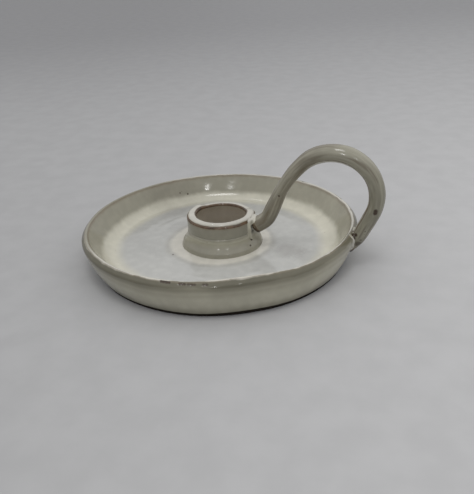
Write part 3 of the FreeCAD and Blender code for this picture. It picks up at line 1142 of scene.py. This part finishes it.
def draw_slip(name, neighbours, place, reach, pads):
    """Slip over a joint: its neighbours' surfaces there and pads of clay, run together and smoothed.
    Its guide is the height above the dish's floor, in millimetres."""
    bodies = []
    for neighbour in neighbours:
        bpy.ops.object.select_all(action="DESELECT")
        neighbour.select_set(True)
        bpy.context.view_layer.objects.active = neighbour
        bpy.ops.object.duplicate()
        body = bpy.context.active_object
        body.id_properties_clear()
        bpy.ops.object.mode_set(mode="EDIT")
        for axis in (Vector((1, 0, 0)), Vector((0, 1, 0)), Vector((0, 0, 1))):
            for side in (axis, -axis):
                bpy.ops.mesh.select_all(action="SELECT")
                edge = place + side * (reach.dot(axis) + SLIP_MARGIN)
                bpy.ops.mesh.bisect(plane_co=edge, plane_no=side, use_fill=True, clear_outer=True)
        bpy.ops.object.mode_set(mode="OBJECT")
        bodies.append(body)
    for pad_place, radii in pads:
        bpy.ops.mesh.primitive_uv_sphere_add(
            segments=PAD_SIDES, ring_count=PAD_SIDES // 2, radius=MM, location=Vector(pad_place) * MM
        )
        bpy.ops.transform.resize(value=radii)
        bpy.ops.object.transform_apply(location=True, rotation=True, scale=True)
        bodies.append(bpy.context.active_object)
    bpy.ops.object.select_all(action="DESELECT")
    for body in bodies:
        body.select_set(True)
    bpy.context.view_layer.objects.active = bodies[-1]
    bpy.ops.object.join()
    piece = start_piece(bpy.context.active_object, name)
    bpy.ops.mesh.primitive_uv_sphere_add(
        segments=REGION_SIDES, ring_count=REGION_SIDES // 2, radius=1, location=place
    )
    region = bpy.context.active_object
    bpy.ops.transform.resize(value=reach)
    bpy.ops.object.select_all(action="DESELECT")
    piece.select_set(True)
    bpy.context.view_layer.objects.active = piece
    for kind, settings in (
        ("REMESH", {"mode": "VOXEL", "voxel_size": SLIP_GRAIN}),
        ("SMOOTH", {"factor": 0.5, "iterations": SLIP_SMOOTHING}),
        ("DISPLACE", {"strength": -SLIP_TUCK, "mid_level": 0.0}),
        ("BOOLEAN", {"operation": "INTERSECT", "object": region}),
    ):
        bpy.ops.object.modifier_add(type=kind)
        modifier = piece.modifiers[-1]
        for setting, value in settings.items():
            setattr(modifier, setting, value)
        bpy.ops.object.modifier_apply(modifier=modifier.name)
    bpy.data.objects.remove(region)
    guide = piece.data.attributes.get("run") or piece.data.attributes.new("run", "FLOAT", "POINT")
    for vertex in piece.data.vertices:
        guide.data[vertex.index].value = (vertex.co.z - FLOOR_HEIGHT) / MM
    bpy.ops.object.shade_smooth()
    return piece


socket_neighbours = [socket, slip_ring, rod]
socket_slip = draw_slip(
    "socket_slip", socket_neighbours, SOCKET_SLIP_PLACE, SOCKET_SLIP_REACH, SOCKET_PADS
)
socket_slip_glaze = glaze(
    "socket_slip_glaze",
    SLIP_SPAN,
    tones=[
        (0, OLIVE_GREY),
        (4, GREIGE),
        (10, GREIGE),
        (13, CREAM),
        (15.2, LIP_CREAM),
        (SLIP_SPAN, LIP_CREAM),
    ],
    thin=[(0, 0.0), (SLIP_SPAN, 0.0)],
    marks=[
        ((17.9, -2.4, 19.7), 0.5, 0.8),
        ((17.0, -5.2, 9.9), 0.7, 1.0),
        # painted shade in the gap between the ridge and the rod's cut end
        ((17.6, -3.0, 16.0), 1.5, 1.0),
        ((17.8, -2.8, 13.5), 1.5, 1.0),
    ],
    wobble=0.5,
)
finish_piece(socket_slip, socket_slip_glaze, "loop_socket_weld", "socket_weld_glaze")


# Rim slip
# Slip over the loop's tail, pressed onto the lip and drawn down the outside of the wall beside it.
# It leaves a small pocket between the lip and the rod, whose shade is painted dark.
RIM_SLIP_PLACE = Vector((64.2, -0.6, 14.2)) * MM
RIM_SLIP_REACH = Vector((4.4, 7.4, 6.8)) * MM
RIM_PADS = (
    ((64.7, 2.6, 16.0), (1.6, 2.6, 0.9)),
    ((65.2, 2.4, 13.2), (2.0, 2.8, 3.8)),
    ((62.9, -4.9, 16.6), (0.7, 0.8, 0.6)),
    ((64.1, -5.2, 15.5), (0.7, 0.55, 1.1)),
    ((64.9, -5.3, 13.9), (0.6, 0.55, 1.5)),
    ((64.7, -5.0, 11.8), (0.6, 0.6, 1.7)),
    ((64.0, -3.9, 10.2), (0.7, 0.8, 1.3)),
)

rim_slip = draw_slip("rim_slip", [dish, rod], RIM_SLIP_PLACE, RIM_SLIP_REACH, RIM_PADS)
rim_slip_glaze = glaze(
    "rim_slip_glaze",
    SLIP_SPAN,
    tones=[
        (0, OLIVE_GREY),
        (5.5, LIP_CREAM),
        (10.3, LIP_CREAM),
        (11.3, GREIGE),
        (SLIP_SPAN, GREIGE),
    ],
    thin=[(0, 0.3), (4, 0.3), (5.5, 0.0), (SLIP_SPAN, 0.0)],
    marks=[
        # painted shade of the pocket between the lip and the loop's tail
        ((63.9, -0.6, 16.6), 1.0, 0.9),
        ((64.4, -2.4, 16.0), 1.3, 1.0),
        ((65.0, -3.4, 14.8), 1.2, 1.0),
        ((65.6, -2.8, 13.4), 1.2, 1.0),
    ],
    wobble=0.5,
)
finish_piece(rim_slip, rim_slip_glaze, "loop_rim_weld", "rim_weld_glaze")


# Table, light and camera
# A pale table under a broad soft ceiling light, a little stronger from the right, seen from above
# and in front. The table's paint darkens to the left and far away: painted shade where the light falls off.
TABLE_SIZE = 8.0
TABLE_GREY = (186, 186, 187)
# painted shade of the table far away
FAR_FALLOFF_GREY = (150, 150, 152)
LEFT_SHADE_SHARES = (0.71, 0.86)
RIGHT_SHADE_SHARES = (1.02, 0.96)
SHADE_REACH = 0.22
SHADE_DISTANCES = (-0.2, 0.4)
AWAY_DIRECTION = (-0.6, 0.9, 0)
AWAY_DISTANCES = (-0.25, 1.0)
WEAVE_SIZE = 14 * MM
WEAVE_RANGE = (0.3, 0.7)
WEAVE_SHARES = (0.97, 1.03)
TABLE_ROUGHNESS = 0.8
TABLE_SPECULAR = 0.1
CAMERA_PLACE = Vector((0.0892, -0.2499, 0.1358))
CAMERA_TURN = math.radians(18)
CAMERA_DROP = 0.470
CAMERA_ROLL = -0.046
LENS = 43.72
CEILING_LIGHT = 1.06
HORIZON_LIGHT = 0.46
CEILING_DIRECTION = (0.04, 0.08, 0.99)

# Each lamp's place, width and power, and whether it lights the scene or only glints in the glaze
LAMPS = (
    ((0.05, -0.25, 1.15), 0.35, 2.0, True),
    ((0.45, -0.72, 0.54), 0.03, 0.25, False),
    ((0.11, -0.82, 0.56), 0.03, 0.5, False),
    ((-0.29, 0.43, 0.86), 0.03, 0.06, False),
)

bpy.ops.object.select_all(action="DESELECT")
bpy.ops.mesh.primitive_plane_add(size=TABLE_SIZE)
table = start_piece(bpy.context.active_object, "table")
table_paint = bpy.data.materials.new("table_paint")
table_paint.use_nodes = True
tree = table_paint.node_tree
place = tree.nodes.new("ShaderNodeTexCoord").outputs["Object"]
away = tree.nodes.new("ShaderNodeVectorMath")
away.operation = "DOT_PRODUCT"
joined(tree, place, away.inputs[0])
away.inputs[1].default_value = AWAY_DIRECTION
away = away.outputs["Value"]
sideways = tree.nodes.new("ShaderNodeVectorMath")
sideways.operation = "DOT_PRODUCT"
joined(tree, place, sideways.inputs[0])
sideways.inputs[1].default_value = (math.cos(CAMERA_TURN), math.sin(CAMERA_TURN), 0)
# painted shade: the table's paint darkens to the left and far away
left_share = between(tree, away, *SHADE_DISTANCES, *LEFT_SHADE_SHARES)
right_share = between(tree, away, *SHADE_DISTANCES, *RIGHT_SHADE_SHARES)
shade = between(tree, sideways.outputs["Value"], -SHADE_REACH, SHADE_REACH, left_share, right_share)
weave = between(tree, clouded(tree, place, WEAVE_SIZE, 4.0), *WEAVE_RANGE, *WEAVE_SHARES)
paper = mixed(tree, between(tree, away, *AWAY_DISTANCES), tone(TABLE_GREY), tone(FAR_FALLOFF_GREY))
paper = scaled(tree, paper, sums(tree, "MULTIPLY", shade, weave))
table_shader = tree.nodes["Principled BSDF"]
joined(tree, paper, table_shader.inputs["Base Color"])
table_shader.inputs["Roughness"].default_value = TABLE_ROUGHNESS
table_shader.inputs["Specular IOR Level"].default_value = TABLE_SPECULAR
table.data.materials.append(table_paint)
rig.stage(table)

for place, width, power, lights_scene in LAMPS:
    bpy.ops.object.light_add(type="AREA", location=place)
    lamp = bpy.context.active_object
    lamp.data.shape = "DISK"
    lamp.data.size = width
    lamp.data.energy = power
    lamp.visible_diffuse = lights_scene
    lamp.rotation_euler = lamp.location.to_track_quat("Z", "Y").to_euler()

world = bpy.data.worlds.new("room")
bpy.context.scene.world = world
world.use_nodes = True
sky = world.node_tree
slope = sky.nodes.new("ShaderNodeVectorMath")
slope.operation = "DOT_PRODUCT"
joined(sky, sky.nodes.new("ShaderNodeTexCoord").outputs["Generated"], slope.inputs[0])
slope.inputs[1].default_value = CEILING_DIRECTION
ceiling = between(sky, slope.outputs["Value"], 0.0, 1.0, HORIZON_LIGHT, CEILING_LIGHT)
joined(sky, ceiling, sky.nodes["Background"].inputs["Strength"])
sky.nodes["Background"].inputs["Color"].default_value = (1, 1, 1, 1)

bpy.ops.object.camera_add()
camera = bpy.context.active_object
camera.matrix_world = (
    Matrix.Translation(CAMERA_PLACE)
    @ Matrix.Rotation(CAMERA_TURN, 4, "Z")
    @ Matrix.Rotation(math.pi / 2 - CAMERA_DROP, 4, "X")
    @ Matrix.Rotation(CAMERA_ROLL, 4, "Z")
)
camera.data.lens = LENS
bpy.context.scene.camera = camera
bpy.context.scene.view_settings.view_transform = "Standard"

with open("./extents.json", "w") as sizes:
    json.dump({"cad": cad_box, "visual": [list(corner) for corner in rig.bounds()]}, sizes)
